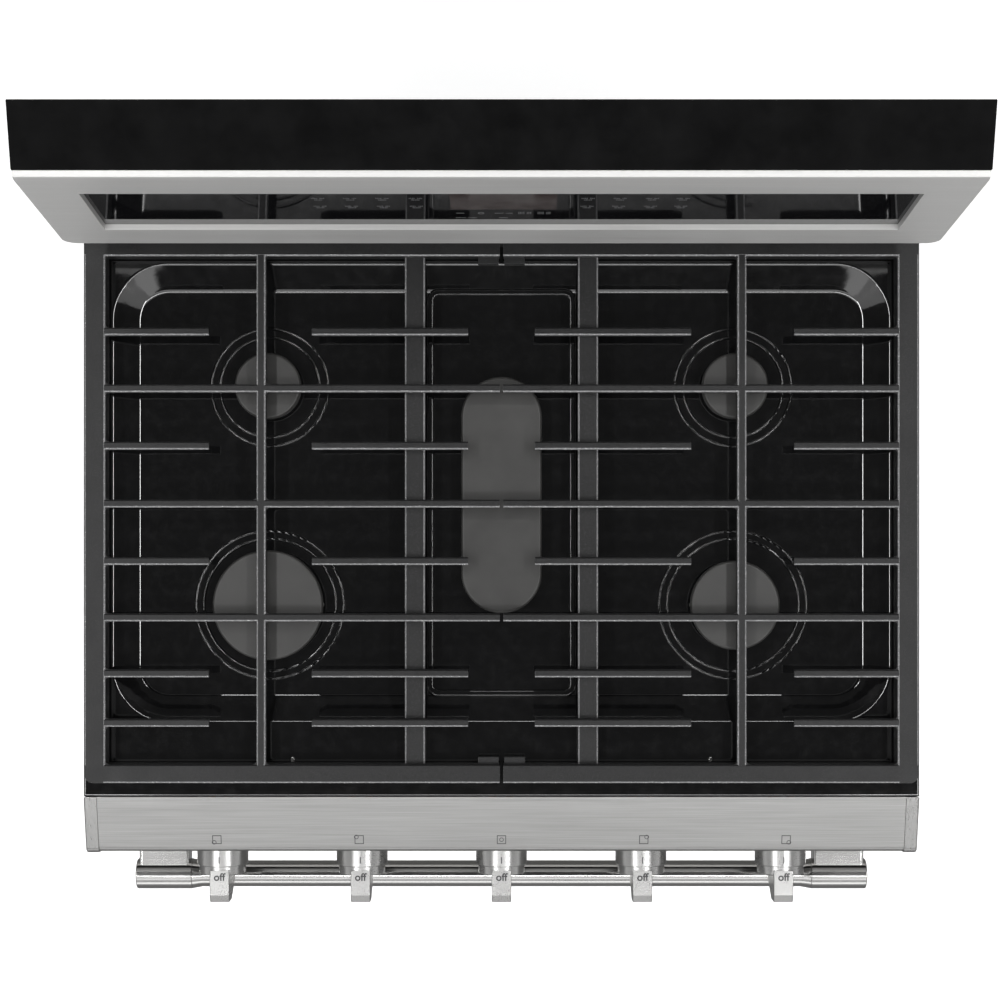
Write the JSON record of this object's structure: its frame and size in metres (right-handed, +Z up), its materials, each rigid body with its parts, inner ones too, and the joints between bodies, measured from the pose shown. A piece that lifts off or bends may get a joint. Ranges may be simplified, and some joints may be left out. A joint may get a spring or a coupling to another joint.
{
  "type": "freestanding gas range",
  "caption": "Freestanding gas range: cast grates over round and oval burners, sloped control panel with knobs, drop-down oven door, storage drawer, and an upright glass-fronted backguard.",
  "frame": {"origin": "on the floor, under the middle of the object's bounding box", "axes": "+Z up; the door and knobs face -Y; the backguard stands towards +Y; +X is the right-hand side seen from the front"},
  "size_m": [0.76, 0.692, 1.19],
  "materials": {
    "brushed_steel": "horizontal fine brushing, satin",
    "end_cap_steel": "fine brushing, satin",
    "polished_steel": "satin polished",
    "side_paint": "black paint, fine texture, satin",
    "galvanised_steel": "galvanised, matte",
    "black_enamel": "gloss black enamel",
    "oven_enamel": "speckled dark grey enamel",
    "burner_cap_enamel": "matte dark grey enamel",
    "burner_aluminium": "cast, matte",
    "grate_iron": "matte enamelled cast iron, fine speckle",
    "electrode_ceramic": "white ceramic",
    "bright_wire": "bright wire",
    "tube_steel": "plain steel tube",
    "valve_brass": "machined",
    "cast_zinc": "cast, matte",
    "black_glass": "gloss black",
    "clear_glass": "clear",
    "seal_fibre": "woven glass fibre",
    "circuit_board": "green board with black display",
    "black_plastic": "moulded",
    "foot_metal": "black moulded foot"
  },
  "bodies": {
    "cabinet": {"control_panel": "brushed_steel", "backguard_frame": "brushed_steel", "panel_end_caps": "end_cap_steel", "knob_bezels": "polished_steel", "left_side_panel": "side_paint", "right_side_panel": "side_paint", "backguard_cover": "side_paint", "rear_panel": "galvanised_steel", "base_frame": "galvanised_steel", "oven_front_frame": "galvanised_steel", "hinge_receivers": "galvanised_steel", "cooktop_pan": "black_enamel", "oven_liner": "oven_enamel", "oven_floor_plate": "oven_enamel", "fan_shroud": "oven_enamel", "rear_burner_heads": "burner_aluminium", "front_burner_heads": "burner_aluminium", "centre_burner_head": "burner_aluminium", "burner_electrodes": "electrode_ceramic", "rack_guides": "bright_wire", "oven_tube_burners": "tube_steel", "burner_gas_tubes": "tube_steel", "gas_manifold": "tube_steel", "gas_valves": "valve_brass", "pressure_regulator": "cast_zinc", "fan_motor": "cast_zinc", "backguard_glass": "black_glass", "oven_lamp": "clear_glass", "door_gasket": "seal_fibre", "control_board": "circuit_board", "power_inlet": "black_plastic"},
    "oven_door": {"door_outer_panel": "brushed_steel", "door_inner_panel": "black_enamel", "door_window": "black_glass", "door_inner_glass": "clear_glass", "door_handle_bar": "polished_steel", "door_handle_ends": "polished_steel", "door_hinge_arms": "galvanised_steel"},
    "storage_drawer": {"drawer_front": "brushed_steel", "drawer_box": "galvanised_steel"},
    "oven_rack": {"oven_rack": "bright_wire"},
    "convection_fan": {"convection_fan": "cast_zinc"},
    "levelling_legs": {"levelling_legs": "foot_metal"},
    "left_grate": {"left_grate": "grate_iron"},
    "right_grate": {"right_grate": "grate_iron"},
    "rear_left_burner_cap": {"rear_left_burner_cap": "burner_cap_enamel"},
    "rear_right_burner_cap": {"rear_right_burner_cap": "burner_cap_enamel"},
    "front_left_burner_cap": {"front_left_burner_cap": "burner_cap_enamel"},
    "front_right_burner_cap": {"front_right_burner_cap": "burner_cap_enamel"},
    "centre_burner_cap": {"centre_burner_cap": "burner_cap_enamel"},
    "front_left_push_collar": {"front_left_push_collar": "valve_brass"},
    "front_left_knob": {"front_left_knob": "polished_steel"},
    "rear_left_push_collar": {"rear_left_push_collar": "valve_brass"},
    "rear_left_knob": {"rear_left_knob": "polished_steel"},
    "centre_push_collar": {"centre_push_collar": "valve_brass"},
    "centre_knob": {"centre_knob": "polished_steel"},
    "rear_right_push_collar": {"rear_right_push_collar": "valve_brass"},
    "rear_right_knob": {"rear_right_knob": "polished_steel"},
    "front_right_push_collar": {"front_right_push_collar": "valve_brass"},
    "front_right_knob": {"front_right_knob": "polished_steel"}
  },
  "joints": [
    {"name": "oven_door_hinge", "type": "hinge", "parent": "cabinet", "child": "oven_door", "pos_m": [0, -0.262, 0.236], "axis": [1, 0, 0], "range_deg": [0, 90]},
    {"name": "rack_slide", "type": "slide", "parent": "cabinet", "child": "oven_rack", "axis": [0, -1, 0], "range_m": [0, 0.301]},
    {"name": "drawer_slide", "type": "slide", "parent": "cabinet", "child": "storage_drawer", "axis": [0, -1, 0], "range_m": [0, 0.38]},
    {"name": "fan_spin", "type": "hinge", "parent": "cabinet", "child": "convection_fan", "pos_m": [0, 0.2, 0.56], "axis": [0, 1, 0], "continuous": true},
    {"name": "legs_extend", "type": "slide", "parent": "cabinet", "child": "levelling_legs", "axis": [0, 0, -1], "range_m": [0, 0.02]},
    {"name": "left_grate_lift", "type": "slide", "parent": "cabinet", "child": "left_grate", "axis": [0, 0, 1], "range_m": [0, 0.04]},
    {"name": "right_grate_lift", "type": "slide", "parent": "cabinet", "child": "right_grate", "axis": [0, 0, 1], "range_m": [0, 0.04]},
    {"name": "rear_left_cap_lift", "type": "slide", "parent": "cabinet", "child": "rear_left_burner_cap", "axis": [0, 0, 1], "range_m": [0, 0.007]},
    {"name": "rear_right_cap_lift", "type": "slide", "parent": "cabinet", "child": "rear_right_burner_cap", "axis": [0, 0, 1], "range_m": [0, 0.007]},
    {"name": "front_left_cap_lift", "type": "slide", "parent": "cabinet", "child": "front_left_burner_cap", "axis": [0, 0, 1], "range_m": [0, 0.007]},
    {"name": "front_right_cap_lift", "type": "slide", "parent": "cabinet", "child": "front_right_burner_cap", "axis": [0, 0, 1], "range_m": [0, 0.007]},
    {"name": "centre_cap_lift", "type": "slide", "parent": "cabinet", "child": "centre_burner_cap", "axis": [0, 0, 1], "range_m": [0, 0.007]},
    {"name": "front_left_knob_push", "type": "slide", "parent": "cabinet", "child": "front_left_push_collar", "axis": [0, 1, 0], "range_m": [0, 0.003], "stiffness_N_per_m": 1500},
    {"name": "front_left_knob_turn", "type": "hinge", "parent": "front_left_push_collar", "child": "front_left_knob", "pos_m": [-0.26, -0.31, 0.868], "axis": [0, -1, 0], "range_deg": [0, 210]},
    {"name": "rear_left_knob_push", "type": "slide", "parent": "cabinet", "child": "rear_left_push_collar", "axis": [0, 1, 0], "range_m": [0, 0.003], "stiffness_N_per_m": 1500},
    {"name": "rear_left_knob_turn", "type": "hinge", "parent": "rear_left_push_collar", "child": "rear_left_knob", "pos_m": [-0.13, -0.31, 0.868], "axis": [0, -1, 0], "range_deg": [0, 210]},
    {"name": "centre_knob_push", "type": "slide", "parent": "cabinet", "child": "centre_push_collar", "axis": [0, 1, 0], "range_m": [0, 0.003], "stiffness_N_per_m": 1500},
    {"name": "centre_knob_turn", "type": "hinge", "parent": "centre_push_collar", "child": "centre_knob", "pos_m": [0, -0.31, 0.868], "axis": [0, -1, 0], "range_deg": [0, 210]},
    {"name": "rear_right_knob_push", "type": "slide", "parent": "cabinet", "child": "rear_right_push_collar", "axis": [0, 1, 0], "range_m": [0, 0.003], "stiffness_N_per_m": 1500},
    {"name": "rear_right_knob_turn", "type": "hinge", "parent": "rear_right_push_collar", "child": "rear_right_knob", "pos_m": [0.13, -0.31, 0.868], "axis": [0, -1, 0], "range_deg": [0, 210]},
    {"name": "front_right_knob_push", "type": "slide", "parent": "cabinet", "child": "front_right_push_collar", "axis": [0, 1, 0], "range_m": [0, 0.003], "stiffness_N_per_m": 1500},
    {"name": "front_right_knob_turn", "type": "hinge", "parent": "front_right_push_collar", "child": "front_right_knob", "pos_m": [0.26, -0.31, 0.868], "axis": [0, -1, 0], "range_deg": [0, 210]}
  ],
  "couplings": [
    {"joint": "rack_slide", "follows": "oven_door_hinge", "m_per_rad": 0.19099}
  ]
}
